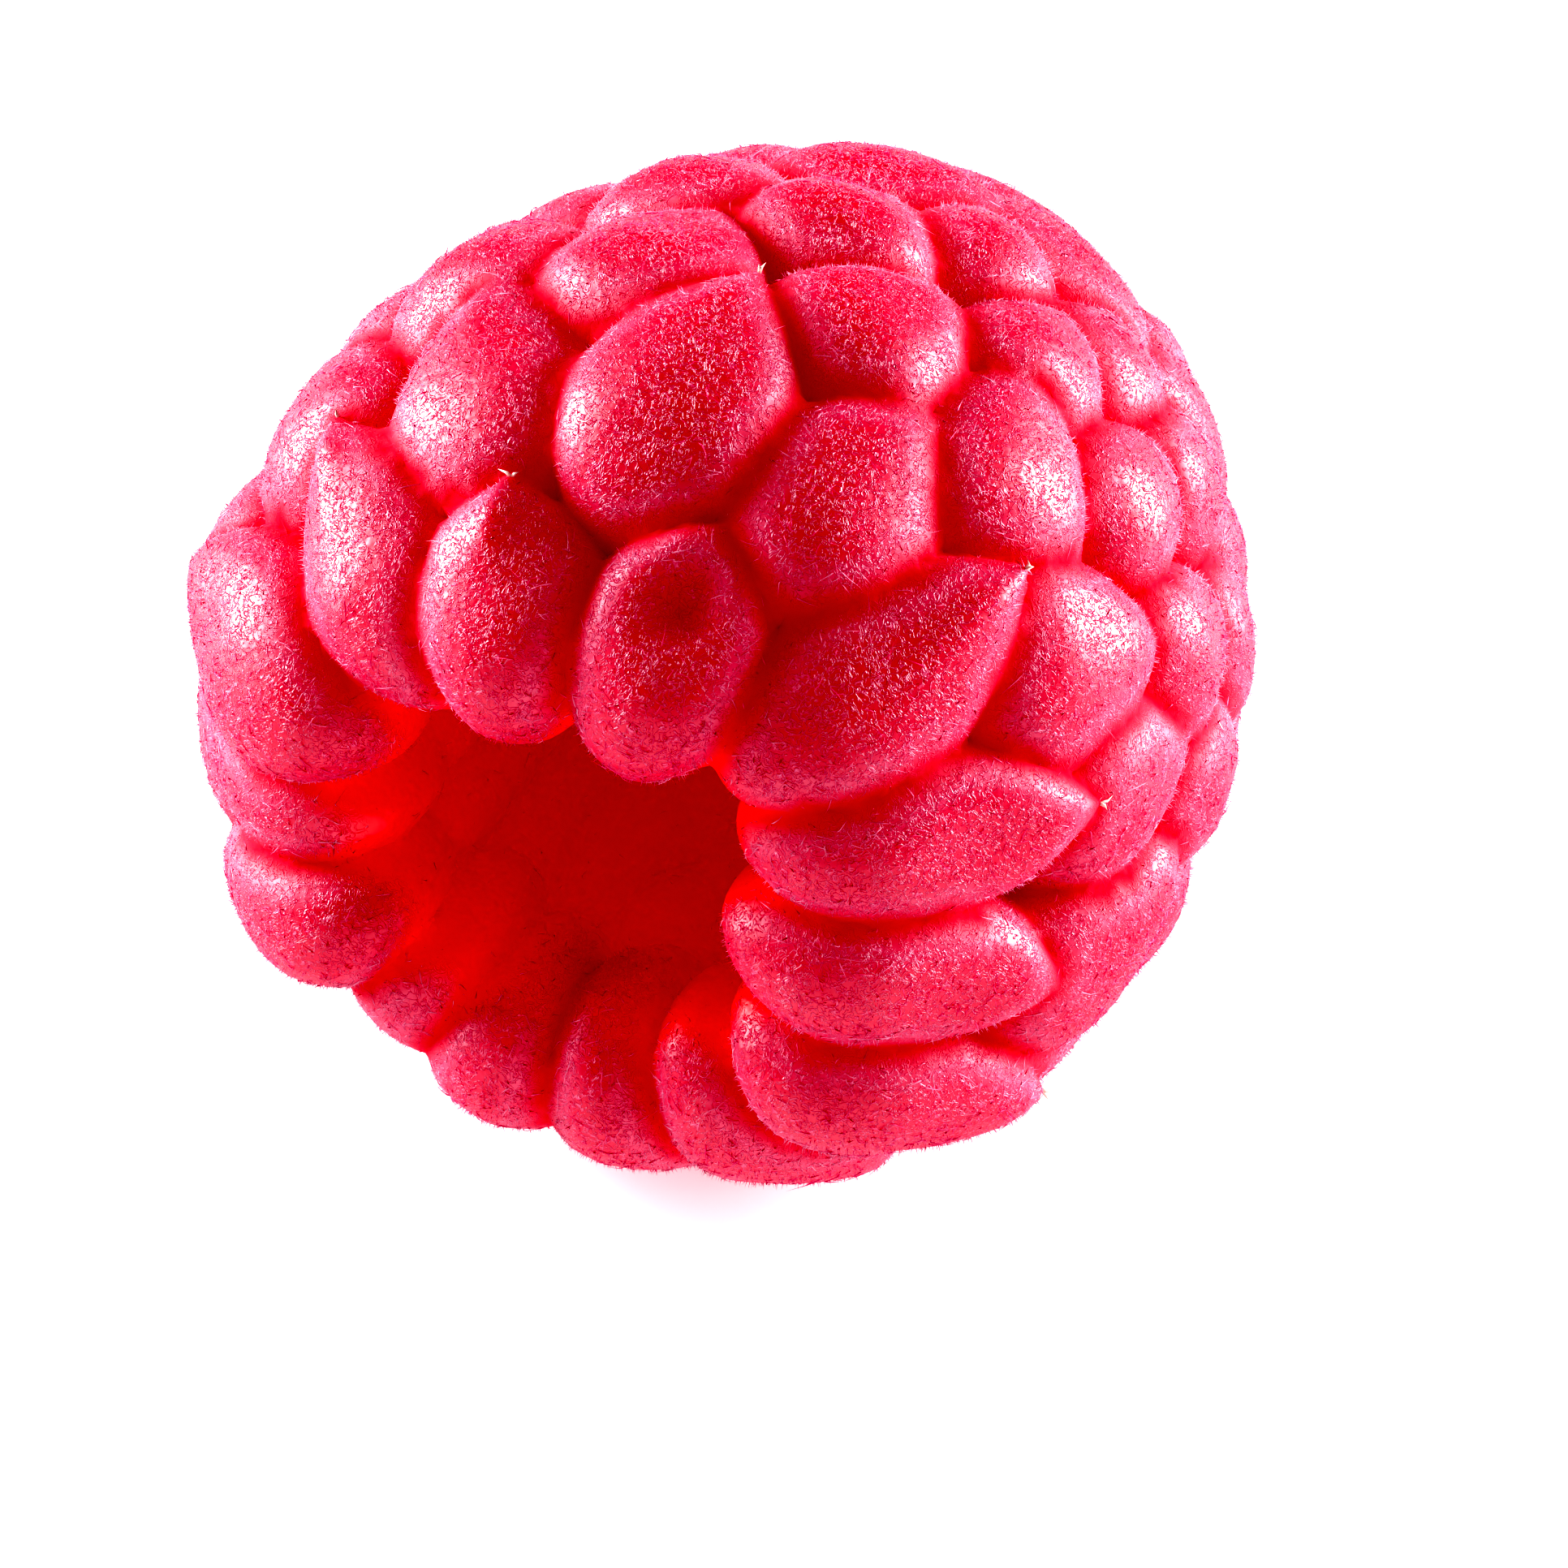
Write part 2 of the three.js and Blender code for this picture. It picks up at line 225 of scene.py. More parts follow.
def unit(v):
    return v / np.linalg.norm(v, axis=-1, keepdims=True)


def scatter(index, lane):
    """A repeatable spread of values between -1 and 1."""
    value = index * 0.6180339887 + lane * 0.7548776662
    return 2 * (value - math.floor(value)) - 1


def body_point(polar, around):
    """The place on the body at these two angles."""
    a, p = math.radians(polar), math.radians(around)
    forward = -math.cos(a)
    radius = BODY_RADIUS + NOSE_GROWTH * max(forward, 0) ** NOSE_POWER
    radius -= MOUTH_FALL * max(-forward, 0) ** 2
    for lobe_polar, lobe_round, height, spread in BODY_LOBES:
        b = math.radians(lobe_polar)
        side_part = math.sin(a) * math.sin(b) * math.cos(p - math.radians(lobe_round))
        closeness = min(1, max(-1, side_part + math.cos(a) * math.cos(b)))
        apart = math.acos(closeness) / math.radians(spread)
        radius += height * math.exp(-apart * apart / 2)
    return radius * np.array([math.sin(a) * math.sin(p), forward, math.sin(a) * math.cos(p)])


def body_frame(polar, around):
    """The body's surface at a place, with the ways towards the nose, round and outward."""
    top = body_point(polar, around)
    nose_way = unit(body_point(polar + 0.5, around) - body_point(polar - 0.5, around))
    p = math.radians(around)
    out_way = unit(np.cross([math.cos(p), 0, -math.sin(p)], nose_way))
    return top, nose_way, unit(np.cross(nose_way, out_way)), out_way


def crest_height(along, side, crest):
    """What a bead's ridge or dish adds to its height."""
    tip = np.maximum(along, 0)
    if crest > 0:
        return crest * tip * (RIDGE_FALL - tip) * np.exp(-((side / RIDGE_SPREAD) ** 2))
    reach = np.exp(-(((along - DISH_PLACE) / DISH_REACH) ** 2))
    return crest * reach * np.exp(-((side / DISH_SPREAD) ** 2))


def seated(bead, depth):
    """Where a bead sits, the ways of its tip, side and top, and half its width."""
    around, polar, half, _, _, twist, proud, _ = bead
    top, nose_way, round_way, out_way = body_frame(polar, around)
    turn = math.radians(twist)
    tip_way = nose_way * math.cos(turn) + round_way * math.sin(turn)
    side_way = unit(np.cross(out_way, tip_way))
    half_width = math.radians(half) * math.hypot(top[0], top[2]) * BEAD_OVERLAP
    half_width = min(max(half_width, BEAD_WIDTH_RANGE[0]), BEAD_WIDTH_RANGE[1])
    return top + out_way * (proud - depth["out"]), tip_way, side_way, out_way, half_width


def drop_shape(ball, bead, depth):
    """Draws a unit ball out into one bead, plump towards the mouth and pinched at its tip."""
    to_tip, to_mouth, crest = bead[3], bead[4], bead[7]
    seat, tip_way, side_way, out_way, half_width = seated(bead, depth)
    nose_share = max(0, bead[1] - NOSE_BEADS_START) / (180 - NOSE_BEADS_START)
    depth_in = depth["inward"] - NOSE_THINNING * nose_share
    seat_radius = math.hypot(seat[0], seat[2]) + WEDGE_HEART
    along = ball[:, 0]
    girth = np.maximum(np.hypot(ball[:, 1], ball[:, 2]), 1e-9)
    side, up = ball[:, 1] / girth, ball[:, 2] / girth
    squareness = 2 + BEAD_FULLNESS * np.minimum(1, FULL_FROM + along)
    plump = (np.abs(side) ** squareness + np.abs(up) ** squareness) ** (-1 / squareness)
    pinch = np.maximum(1 - along, 0) ** TIP_PINCH
    thinning = np.maximum(1 - along, 0) ** TIP_THINNING
    out = (
        up * girth * plump * thinning * np.where(up > 0, depth["out"], depth_in)
        + depth["tip_lift"] * np.maximum(along, 0) ** 2
        + np.maximum(up, 0) * crest_height(along, side * girth, crest)
    )
    reach = along * np.where(along > 0, to_tip, to_mouth)
    reach += to_tip * TIP_NIB * np.exp((along - 1) / TIP_NIB_SHARE)
    point = seat + np.outer(reach, tip_way) + np.outer(out, out_way)
    wedge = (np.hypot(point[:, 0], point[:, 2]) + WEDGE_HEART) / seat_radius
    return point + np.outer(side * girth * plump * pinch * half_width * wedge, side_way)


def even_beads():
    """The beads that make up the rest of each ring."""
    for ring, (first, count, step, polar, half, long) in enumerate(EVEN_RINGS):
        for k in range(count):
            seed = ring * RING_SEEDS + k
            size = 1 + SCATTER["size"] * scatter(seed, 1)
            yield (
                first + k * step + SCATTER["round"] * scatter(seed, 2),
                polar + SCATTER["polar"] * scatter(seed, 3),
                half * size, long * size, long * size,
                SCATTER["twist"] * scatter(seed, 4),
                SCATTER["proud"] * scatter(seed, 5),
                SCATTER["crest"] * scatter(seed, 6),
            )


ALL_BEADS = [(bead, RIM_DEPTH) for bead in RIM_BEADS]
ALL_BEADS += [
    (bead, BODY_DEPTH)
    for bead in [*SHOULDER_BEADS, *MIDDLE_BEADS, *BACK_BEADS, *even_beads()]
]


def places(mesh):
    at = np.empty(len(mesh.vertices) * 3)
    mesh.vertices.foreach_get("co", at)
    return at.reshape(-1, 3)


def skin_ways(mesh):
    """The way straight out of the skin at every corner."""
    ways = np.empty(len(mesh.vertices) * 3)
    mesh.vertices.foreach_get("normal", ways)
    return ways.reshape(-1, 3)


def object_of(bm, name):
    mesh = bpy.data.meshes.new(name)
    bm.to_mesh(mesh)
    bm.free()
    piece = bpy.data.objects.new(name, mesh)
    bpy.context.scene.collection.objects.link(piece)
    return piece


def uneven(point, seed):
    """A gentle rise and fall, different on every bead."""
    broad = Vector(point) * UNEVEN_BROAD + Vector([seed * step for step in BROAD_SHIFT])
    fine = Vector(point) * UNEVEN_FINE + Vector([seed * step for step in FINE_SHIFT])
    return noise.noise(broad) + UNEVEN_FINE_SHARE * noise.noise(fine)


def plain_ball():
    """A ball with its poles along X, to be drawn out into a bead or a tongue."""
    bm = bmesh.new()
    bmesh.ops.create_icosphere(bm, subdivisions=BEAD_FINENESS, radius=1)
    bmesh.ops.rotate(bm, verts=bm.verts, matrix=Matrix.Rotation(math.pi / 2, 3, "Y"))
    return bm


def bead_object(index, bead, depth):
    bm = plain_ball()
    shaped = drop_shape(np.array([v.co for v in bm.verts]), bead, depth)
    for vertex, place in zip(bm.verts, shaped):
        vertex.co = place
    bm.normal_update()
    for vertex in bm.verts:
        vertex.co += vertex.normal * UNEVEN_HEIGHT * uneven(vertex.co, index)
    return object_of(bm, f"bead_{index}")


def smooth_line(points, steps):
    """A flowing line (a Catmull-Rom spline) through the named points."""
    p = np.array([points[0], *points, points[-1]], float)
    line = []
    for i in range(1, len(p) - 2):
        for t in np.arange(steps) / steps:
            line.append(0.5 * (
                2 * p[i] + (p[i + 1] - p[i - 1]) * t
                + (2 * p[i - 1] - 5 * p[i] + 4 * p[i + 1] - p[i + 2]) * t ** 2
                + (3 * p[i] - p[i - 1] - 3 * p[i + 1] + p[i + 2]) * t ** 3
            ))
    return [*line, p[-2]]


def hollow_radius(along):
    radii, lengths = zip(*CORE_HOLLOW)
    return np.interp(along, lengths, radii)


def core_object():
    """The cup of flesh that carries the beads, with low ribs along its hollow."""
    bm = bmesh.new()
    outline = [
        *smooth_line(CORE_OUTSIDE, OUTSIDE_STEPS),
        *smooth_line(CORE_HOLLOW, HOLLOW_STEPS),
    ]
    line = [bm.verts.new((max(radius, 0), along, 0)) for radius, along in outline]
    edges = [bm.edges.new(pair) for pair in zip(line, line[1:])]
    bmesh.ops.spin(
        bm, geom=[*line, *edges], cent=(0, 0, 0), axis=(0, 1, 0), angle=2 * math.pi,
        steps=CORE_SIDES, use_merge=True,
    )
    bmesh.ops.remove_doubles(bm, verts=bm.verts, dist=CORE_MERGE)
    bmesh.ops.recalc_face_normals(bm, faces=bm.faces)
    for vertex in bm.verts:
        x, along, z = vertex.co
        radius = math.hypot(x, z)
        if HOLLOW_AXIS < radius < hollow_radius(along) + HOLLOW_SKIN:
            turn = math.degrees(math.atan2(x, z))
            apart = min(abs((turn - bead[0] + 180) % 360 - 180) for bead in RIM_BEADS)
            fade = min(max((RIB_END - along) / RIB_FADE, 0), 1)
            rib = RIB_HEIGHT * fade * max(0, 1 - (apart / RIB_HALF_TURN) ** 2)
            vertex.co.x *= (radius - rib) / radius
            vertex.co.z *= (radius - rib) / radius
    return object_of(bm, "core")


def tongue_object(index, bead, height):
    """The long inner face of a rim bead, laid along the wall of the hollow."""
    bm = plain_ball()
    for vertex in bm.verts:
        deep, side, up = vertex.co
        along = TONGUE_START + deep * TONGUE_LENGTHS[deep > 0]
        radius = hollow_radius(along) + TONGUE_ROOT - up * (height + TONGUE_ROOT)
        turn = math.radians(bead[0] + TONGUE_WIDENING * bead[2] * side)
        vertex.co = (radius * math.sin(turn), along, radius * math.cos(turn))
    bmesh.ops.recalc_face_normals(bm, faces=bm.faces)
    return object_of(bm, f"tongue_{index}")


def fused(base, others, operation):
    """Joins or cuts solids for good, and removes the ones used up."""
    group = bpy.data.collections.new("joined")
    bpy.context.scene.collection.children.link(group)
    for other in others:
        bpy.context.scene.collection.objects.unlink(other)
        group.objects.link(other)
    join = base.modifiers.new("join", "BOOLEAN")
    join.operation, join.solver = operation, "MANIFOLD"
    join.operand_type, join.collection = "COLLECTION", group
    done = bpy.data.meshes.new_from_object(
        base.evaluated_get(bpy.context.evaluated_depsgraph_get()))
    base.modifiers.remove(join)
    base.data = done
    for other in others:
        bpy.data.objects.remove(other)
    bpy.data.collections.remove(group)
    return base


def outer_skin(bm):
    """Drops the small gaps closed in under the beads and keeps the berry's own skin."""
    bm.verts.ensure_lookup_table()
    found = np.zeros(len(bm.verts), int)
    sizes = [0]
    for start in bm.verts:
        if found[start.index]:
            continue
        sizes.append(0)
        reached = [start]
        found[start.index] = len(sizes) - 1
        while reached:
            vertex = reached.pop()
            sizes[-1] += 1
            for edge in vertex.link_edges:
                other = edge.other_vert(vertex)
                if not found[other.index]:
                    found[other.index] = len(sizes) - 1
                    reached.append(other)
    keep = int(np.argmax(sizes))
    bmesh.ops.delete(bm, geom=[v for v in bm.verts if found[v.index] != keep], context="VERTS")


def table_cutter():
    """The surface the berry lies on, to press its underside flat."""
    width = 60
    bm = bmesh.new()
    bmesh.ops.create_cube(bm, size=width)
    bmesh.ops.translate(bm, verts=bm.verts, vec=(0, 0, -HEART[2] + FLOOR_GAP - width / 2))
    return object_of(bm, "table")


def fleshy_cup():
    """The whole berry's flesh: beads, the cup under them and the folds of its hollow, as one skin."""
    beads = [bead_object(i, bead, depth) for i, (bead, depth) in enumerate(ALL_BEADS)]
    tongues = [tongue_object(i, *pair) for i, pair in enumerate(zip(RIM_BEADS, TONGUE_HEIGHTS))]
    berry = fused(core_object(), beads + tongues, "UNION")
    berry.data.transform(Matrix.Scale(SKIN_SCALE, 4))
    berry = fused(berry, [table_cutter()], "DIFFERENCE")
    bm = bmesh.new()
    bm.from_mesh(berry.data)
    bmesh.ops.remove_doubles(bm, verts=bm.verts, dist=MERGE_DISTANCE)
    outer_skin(bm)
    bmesh.ops.triangulate(bm, faces=bm.faces)
    seams = seam_places(bm)
    soft = [v for v in bm.verts if v.index in seams]
    for _ in range(SEAM_SOFTENING["passes"]):
        bmesh.ops.smooth_vert(
            bm, verts=soft, factor=SEAM_SOFTENING["factor"],
            use_axis_x=True, use_axis_y=True, use_axis_z=True,
        )
    for vertex, place in zip(bm.verts, kept_in_box(np.array([v.co for v in bm.verts]))):
        vertex.co = place
    bm.to_mesh(berry.data)
    bm.free()
    berry.name = berry.data.name = "raspberry_flesh"
    return berry


def seam_places(bm):
    """The corners along the folds where one bead meets the next."""
    bm.verts.index_update()
    bm.normal_update()
    found = set()
    for edge in bm.edges:
        folded_in = len(edge.link_faces) == 2 and not edge.is_convex
        if folded_in and edge.calc_face_angle(0) > SEAM_ANGLE:
            found.update(v.index for v in edge.verts)
    return found


def add_value(mesh, name, values):
    layer = mesh.attributes.new(name, "FLOAT", "POINT")
    layer.data.foreach_set("value", np.asarray(values, np.float32))


def nearest(points, others):
    """For each point, which of the others is nearest, and how far off."""
    tree = KDTree(len(others))
    for i, other in enumerate(others):
        tree.insert(other, i)
    tree.balance()
    found = [tree.find(point) for point in points]
    return [i for _, i, _ in found], np.array([away for _, _, away in found])


def hollow_share(at):
    """How far each place belongs to the hollow: 0 on the outside, 1 well inside it."""
    x, along, z = at.T
    across = (hollow_radius(along) + HOLLOW_MARGIN - np.hypot(x, z)) / HOLLOW_BLEND
    inward = (along - HOLLOW_MOUTH) / HOLLOW_MOUTH_BLEND
    share = np.clip(across, 0, 1) * np.clip(inward, 0, 1) * (along < HOLLOW_END)
    turn = np.degrees(np.arctan2(x, z)) % 360
    away = (turn - DOWNY_TONGUE["round"]) / DOWNY_TONGUE["half_turn"]
    downy = DOWNY_SHARE * np.exp(-(away ** 2))
    downy *= np.clip((DOWNY_TONGUE["end"] - along) / DOWNY_BLEND, 0, 1)
    return share * (1 - downy)


def mark_skin(berry):
    """Notes on every corner how near a seam it lies, how deep in the hollow, and which bead."""
    mesh = berry.data
    bm = bmesh.new()
    bm.from_mesh(mesh)
    seams = sorted(seam_places(bm))
    bm.free()
    at = places(mesh)
    _, apart = nearest(at, at[seams])
    owner, _ = nearest(at, [seated(bead, depth)[0] for bead, depth in ALL_BEADS])
    hollow = hollow_share(at)
    lip = 4 * hollow * (1 - hollow)   # full half way over the edge
    # Along each bead's edge and over the mouth's lip: thicker down, and a painted pale sheen in the
    # finishes
    rim = np.maximum(np.exp(-(((apart - RIM_PLACE) / RIM_REACH) ** 2)) * (1 - hollow), lip)
    add_value(mesh, "seam", np.exp(-((apart / SEAM_REACH) ** 2)))
    add_value(mesh, "rim", rim)
    add_value(mesh, "hollow", hollow)
    add_value(mesh, "bead_tone", [scatter(i, TONE_LANE) for i in owner])
    return dict(at=at, apart=apart, hollow=hollow, rim=rim)


def set_down(piece):
    """From millimetres about the heart to metres in the row frame."""
    piece.data.transform(Matrix.Scale(MM, 4) @ Matrix.Translation(Vector(HEART)))


# --- Down


def plain_hair(cuts):
    """One straight tapered hair, closed, a unit long and a unit wide."""
    bm = bmesh.new()
    bmesh.ops.create_cone(bm, cap_ends=True, segments=HAIR_SIDES, radius1=1, radius2=0, depth=1)
    bmesh.ops.translate(bm, verts=bm.verts, vec=(0, 0, 0.5))
    sides = [e for e in bm.edges if abs(e.verts[0].co.z - e.verts[1].co.z) > 0.5]
    if cuts:
        bmesh.ops.subdivide_edges(bm, edges=sides, cuts=cuts)
        middle = [v for v in bm.verts if 0.1 < v.co.z < 0.9]
        bmesh.ops.scale(bm, verts=middle, vec=(HAIR_SWELL, HAIR_SWELL, 1))
    bmesh.ops.triangulate(bm, faces=bm.faces)
    bmesh.ops.recalc_face_normals(bm, faces=bm.faces)
    bm.verts.index_update()
    shape = np.array([v.co for v in bm.verts])
    faces = np.array([[v.index for v in f.verts] for f in bm.faces])
    bm.free()
    return shape, faces


def roots_on(berry, marks, count, rng):
    """Where hairs grow: all over the outside, thinner in the seams and in the hollow."""
    mesh = berry.data
    corners = np.empty(len(mesh.polygons) * 3, int)
    mesh.polygons.foreach_get("vertices", corners)
    corners = corners.reshape(-1, 3)
    at = marks["at"]
    a, b, c = (at[corners[:, k]] for k in range(3))
    face_way = np.cross(b - a, c - a)
    area = np.linalg.norm(face_way, axis=1) / 2
    normals = skin_ways(mesh)
    growth = np.clip((marks["apart"] - BARE_SEAM) / SEAM_GROWTH, LEAST_GROWTH, 1)
    growth *= 1 - HOLLOW_THINNING * marks["hollow"]
    growth *= (at[:, 2] > -HEART[2] + BARE_UNDERSIDE) * (1 + RIM_THICKENING * marks["rim"])
    chance = area * growth[corners].mean(axis=1)
    face = rng.choice(len(corners), size=count, p=chance / chance.sum())
    u, v = rng.random(count), rng.random(count)
    flip = u + v > 1
    u[flip], v[flip] = 1 - u[flip], 1 - v[flip]
    share = np.stack([1 - u - v, u, v], axis=1)[:, :, None]
    root = (at[corners[face]] * share).sum(axis=1)
    way = unit((normals[corners[face]] * share).sum(axis=1))
    rim = (marks["rim"][corners[face]] * share[:, :, 0]).sum(axis=1)
    return root, way, rim


def grown_hairs(root, way, rng, cuts, length, thickness, lean, curl):
    """A curved hair at every root: all their corners, the faces, and the skin's way at each."""
    shape, faces = plain_hair(cuts)
    n = len(root)
    side = unit(np.cross(way, unit(rng.normal(size=(n, 3)))))
    other = np.cross(way, side)
    tilt = rng.uniform(*lean, n)[:, None]
    out = way * np.cos(tilt) + side * np.sin(tilt)
    across = unit(np.cross(out, other))
    bend = side * rng.normal(size=(n, 1)) + other * rng.normal(size=(n, 1)) - HAIR_HANG * way
    bend = unit(bend) * rng.uniform(*curl, n)[:, None]
    hook = np.cross(way, bend) * rng.uniform(-1, 1, n)[:, None]
    long = rng.uniform(*length, n)[:, None]
    wide = thickness * rng.uniform(*WIDTH_SPREAD, n)[:, None]
    hairs = np.empty((n, len(shape), 3))
    upright = np.repeat(way, len(shape), axis=0)
    for k, (x, y, z) in enumerate(shape):
        course = out * (1 - HAIR_DROOP * z) + bend * z + hook * z * z
        spine = root - way * HAIR_ROOT + long * z * course
        hairs[:, k] = spine + (other * x + across * y) * wide
    index = faces[None] + (np.arange(n) * len(shape))[:, None, None]
    return hairs.reshape(-1, 3), index.reshape(-1, 3), upright


def kept_in_box(at):
    """Nothing reaches past the berry's own box."""
    low = np.array(cad_low) / MM - HEART + BOX_ROOM
    high = np.array(cad_high) / MM - HEART - BOX_ROOM
    return np.clip(at, low, high)


def hair_piece(name, at, faces, upright):
    """Many hairs as one piece, which take the light a little as the skin under them does."""
    mesh = bpy.data.meshes.new(name)
    mesh.from_pydata(kept_in_box(at).tolist(), [], faces.tolist())
    mesh.shade_smooth()
    lit_way = unit(HAIR_OWN_SHARE * skin_ways(mesh) + upright)
    mesh.normals_split_custom_set_from_vertices(lit_way.tolist())
    piece = bpy.data.objects.new(name, mesh)
    bpy.context.scene.collection.objects.link(piece)
    set_down(piece)
    return piece


def style_ends(berry, rng):
    """Short dry remains of the flower's styles, at the tips that aren't hidden by a neighbour."""
    skin = BVHTree.FromPolygons(
        places(berry.data).tolist(), [list(p.vertices) for p in berry.data.polygons])
    roots, ways = [], []
    for bead, depth in ALL_BEADS:
        tip = drop_shape(np.array([STYLE_PLACE]), bead, depth)[0] * SKIN_SCALE
        near, skin_way, _, _ = skin.find_nearest(Vector(tip))
        if (Vector(tip) - near).dot(skin_way) < -HIDDEN_TIP:
            continue
        _, tip_way, _, out_way, _ = seated(bead, depth)
        roots += [tip - STYLE_ROOT * tip_way] * STYLES_PER_TIP
        ways += [unit(tip_way + STYLE_LIFT * out_way)] * STYLES_PER_TIP
    stubs = grown_hairs(np.array(roots), np.array(ways), rng, *STYLE_FORM)
    return hair_piece("style_ends", *stubs)


# --- Finishes


class Nodes:
    """A short way to lay out one finish."""

    def __init__(self, name):
        self.finish = bpy.data.materials.new(name)
        self.finish.use_nodes = True
        self.tree = self.finish.node_tree
        self.shader = self.tree.nodes["Principled BSDF"]

    def add(self, kind, inputs=(), **settings):
        node = self.tree.nodes.new(kind)
        for key, value in settings.items():
            setattr(node, key, value)
        for socket, value in dict(inputs).items():
            self.feed(node, socket, value)
        return node

    def feed(self, node, socket, value):
        if isinstance(value, bpy.types.NodeSocket):
            self.tree.links.new(value, node.inputs[socket])
        else:
            node.inputs[socket].default_value = value

    def mark(self, name):
        return self.add("ShaderNodeAttribute", attribute_name=name).outputs["Fac"]

    def mottle(self, scale, detail=0.0, distortion=0.0):
        """A soft noise that lies still on the piece, in patches of 1 / scale metres."""
        place = self.add("ShaderNodeTexCoord").outputs["Object"]
        return self.add("ShaderNodeTexNoise", {
            "Vector": place, "Scale": scale, "Detail": detail, "Distortion": distortion,
        }).outputs["Fac"]

    def mix(self, share, first, second):
        node = self.add("ShaderNodeMix", data_type="RGBA")
        self.feed(node, 0, share)
        self.feed(node, 6, first)
        self.feed(node, 7, second)
        return node.outputs[2]

    def maths(self, operation, first, second=0.0, clamp=False):
        return self.add("ShaderNodeMath", {0: first, 1: second}, operation=operation,
                        use_clamp=clamp).outputs[0]


CRIMSON = (0.68, 0.001, 0.062, 1)
DEEP_CRIMSON = (0.58, 0.001, 0.042, 1)
BRIGHT_CRIMSON = (0.74, 0.002, 0.075, 1)
# Painted shade: a darker red for the folds between beads, which are also bare of down
SEAM_SHADE_RED = (0.58, 0.000, 0.034, 1)
# Painted glow: a bright pure red inside the hollow, as if lit through its thin walls
HOLLOW_GLOW_RED = (0.98, 0.000, 0.001, 1)
DOWN_PINK = (0.80, 0.20, 0.36, 1)
# Painted sheen: the pale edges of the beads and the mouth's lip
RIM_SHEEN_PALE = (0.90, 0.66, 0.76, 1)
CURLED_TONES = (0.68, 0.04, 0.18, 1), (0.78, 0.21, 0.36, 1)
VELVET_TONES = (0.68, 0.05, 0.20, 1), (0.78, 0.24, 0.40, 1)
STYLE_TONES = (0.92, 0.60, 0.52, 1), (1.0, 0.90, 0.82, 1)
PAPER_TONES = (0.93, 0.93, 0.93, 1), (0.95, 0.95, 0.95, 1)
CLOUD_SCALE, CLOUD_SHARE = 700.0, 0.6        # darker clouds in a bead's crimson
TONE_SHARE = 0.35                            # how far whole beads differ
CURL_SCALE, CURL_TWIST, CURL_FINENESS = 6200.0, 1.6, 15.0
CURL_SHARE, RIM_SHEEN_SHARE, HAIR_RIM_SHEEN_SHARE = 0.8, 0.42, 0.6   # how pale each gets; the two rim shares are a painted sheen
SKIN_ROUGHNESS, SEAM_ROUGHENING = 0.46, 0.5
FLESH_GLOW = dict(weight=0.3, spread=(1.0, 0.01, 0.014), reach=3.0 * MM)   # light inside the flesh
FLESH_SHEEN = dict(weight=0.15, roughness=0.25, tint=(1.0, 0.40, 0.52, 1))
PORE_SCALE = 4200.0
CURL_RELIEF = 1.1                            # curls against pores
SKIN_RELIEF = dict(strength=0.8, height=0.03 * MM)
HAIR_SCALE, PAPER_SCALE = 1500.0, 900.0


def flesh_finish():
    m = Nodes("juicy_flesh")
    seam, hollow, rim = m.mark("seam"), m.mark("hollow"), m.mark("rim")
    clouds = m.maths("MULTIPLY", m.mottle(CLOUD_SCALE, detail=1.0), CLOUD_SHARE)
    skin = m.mix(clouds, CRIMSON, DEEP_CRIMSON)
    bead_tone = m.maths("ABSOLUTE", m.maths("MULTIPLY", m.mark("bead_tone"), TONE_SHARE))
    skin = m.mix(bead_tone, skin, BRIGHT_CRIMSON)
    # Matted down lying on the skin, as a net of fine pale curls
    curls = m.mottle(CURL_SCALE, detail=1.0, distortion=CURL_TWIST)
    line = m.maths("ABSOLUTE", m.maths("SUBTRACT", curls, 0.5))
    line = m.maths("SUBTRACT", 1.0, m.maths("MULTIPLY", line, CURL_FINENESS), clamp=True)
    bare = m.maths("ADD", seam, hollow, clamp=True)
    downy = m.maths("MULTIPLY", line, m.maths("SUBTRACT", 1.0, bare, clamp=True))
    skin = m.mix(m.maths("MULTIPLY", downy, CURL_SHARE), skin, DOWN_PINK)
    # Painted sheen: paler skin along the edges of the beads
    skin = m.mix(m.maths("MULTIPLY", rim, RIM_SHEEN_SHARE), skin, DOWN_PINK)
    # The folds, bare of down, painted a darker red as shade
    skin = m.mix(seam, skin, SEAM_SHADE_RED)
    # The hollow, bare of down, painted a bright pure red as a glow of light through its walls
    m.feed(m.shader, "Base Color", m.mix(hollow, skin, HOLLOW_GLOW_RED))
    rougher = m.maths("MULTIPLY", seam, SEAM_ROUGHENING)
    m.feed(m.shader, "Roughness", m.maths("ADD", SKIN_ROUGHNESS, rougher, clamp=True))
    m.feed(m.shader, "Subsurface Weight", FLESH_GLOW["weight"])
    m.feed(m.shader, "Subsurface Radius", FLESH_GLOW["spread"])
    m.feed(m.shader, "Subsurface Scale", FLESH_GLOW["reach"])
    m.feed(m.shader, "Specular IOR Level", 1.0)
    m.feed(m.shader, "IOR", 1.7)
    m.feed(m.shader, "Sheen Weight", FLESH_SHEEN["weight"])
    m.feed(m.shader, "Sheen Roughness", FLESH_SHEEN["roughness"])
    m.feed(m.shader, "Sheen Tint", FLESH_SHEEN["tint"])
    pores = m.mottle(PORE_SCALE, detail=1.0)
    grain = m.maths("ADD", pores, m.maths("MULTIPLY", downy, CURL_RELIEF))
    bump = m.add("ShaderNodeBump", {
        "Strength": SKIN_RELIEF["strength"], "Distance": SKIN_RELIEF["height"], "Height": grain,
    })
    m.feed(m.shader, "Normal", bump.outputs["Normal"])
    return m.finish


